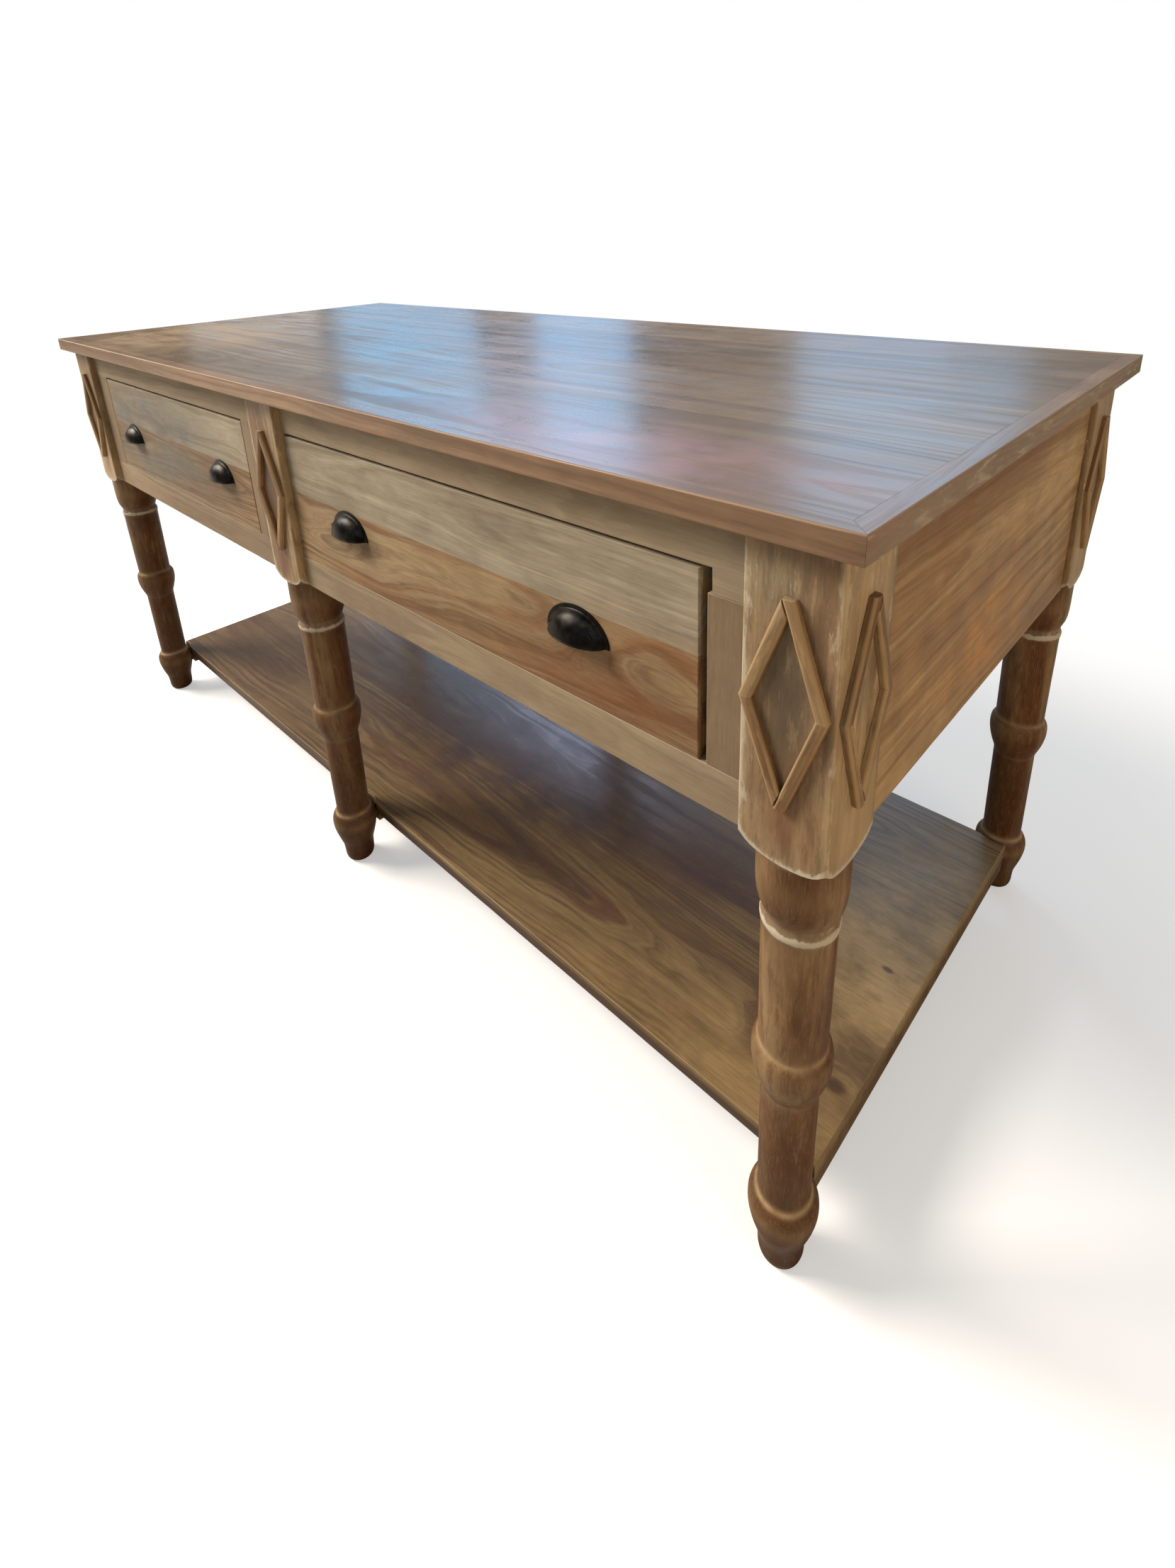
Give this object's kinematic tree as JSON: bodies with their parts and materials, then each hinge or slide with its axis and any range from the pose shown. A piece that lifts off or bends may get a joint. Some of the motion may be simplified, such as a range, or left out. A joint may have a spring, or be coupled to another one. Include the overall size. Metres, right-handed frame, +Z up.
{
  "type": "farmhouse table",
  "caption": "Long wooden work table on turned legs, with drawers in the apron, cup pulls, diamond appliques on the leg blocks and a low full-length shelf.",
  "frame": {"origin": "on the floor, under the middle of the top", "axes": "+X along the table's length, to the right seen from the drawers' side; +Y from the drawers' side to the back; +Z up"},
  "size_m": [1.905, 0.83, 0.9],
  "materials": {
    "top_wood": "oiled, semi-gloss",
    "leg_wood": "limed and waxed",
    "shelf_wood": "oiled, semi-gloss",
    "frame_wood": "limed and waxed",
    "drawer_front_wood": "limed and waxed",
    "inner_wood": "bare planed wood",
    "pull_iron": "dark, polished by use",
    "screw_steel": "plain"
  },
  "bodies": {
    "table": {"top_board_1": "top_wood", "top_board_2": "top_wood", "top_board_3": "top_wood", "top_board_4": "top_wood", "top_lip_front": "top_wood", "top_lip_back": "top_wood", "top_lip_left": "top_wood", "top_lip_right": "top_wood", "leg_front_left": "leg_wood", "leg_front_middle": "leg_wood", "leg_front_right": "leg_wood", "leg_back_left": "leg_wood", "leg_back_middle": "leg_wood", "leg_back_right": "leg_wood", "diamonds_front": "leg_wood", "diamonds_back": "leg_wood", "diamonds_left": "leg_wood", "diamonds_right": "leg_wood", "rail_top_left": "frame_wood", "rail_top_right": "frame_wood", "rail_bottom_left": "frame_wood", "rail_bottom_right": "frame_wood", "stile_left_outer": "frame_wood", "stile_left_inner": "frame_wood", "stile_right_outer": "frame_wood", "end_panel_left": "frame_wood", "end_panel_right": "frame_wood", "back_panel_left": "frame_wood", "back_panel_right": "frame_wood", "centre_partition": "inner_wood", "runners_left": "inner_wood", "runners_right": "inner_wood", "kickers": "inner_wood", "drawer_stops": "inner_wood", "top_battens": "inner_wood", "wood_screws": "screw_steel", "shelf_board_1": "shelf_wood", "shelf_board_2": "shelf_wood", "shelf_board_3": "shelf_wood", "shelf_bearers": "inner_wood"},
    "drawer_left": {"drawer_left_front_upper": "drawer_front_wood", "drawer_left_front_lower": "drawer_front_wood", "drawer_left_side_left": "inner_wood", "drawer_left_side_right": "inner_wood", "drawer_left_back": "inner_wood", "drawer_left_bottom": "inner_wood", "drawer_left_pull_left": "pull_iron", "drawer_left_pull_right": "pull_iron", "drawer_left_pull_screws": "screw_steel"},
    "drawer_right": {"drawer_right_front_upper": "drawer_front_wood", "drawer_right_front_lower": "drawer_front_wood", "drawer_right_side_left": "inner_wood", "drawer_right_side_right": "inner_wood", "drawer_right_back": "inner_wood", "drawer_right_bottom": "inner_wood", "drawer_right_pull_left": "pull_iron", "drawer_right_pull_right": "pull_iron", "drawer_right_pull_screws": "screw_steel"}
  },
  "joints": [
    {"name": "drawer_left_slide", "type": "slide", "parent": "table", "child": "drawer_left", "axis": [0, -1, 0], "range_m": [0, 0.4]},
    {"name": "drawer_right_slide", "type": "slide", "parent": "table", "child": "drawer_right", "axis": [0, -1, 0], "range_m": [0, 0.4]}
  ]
}
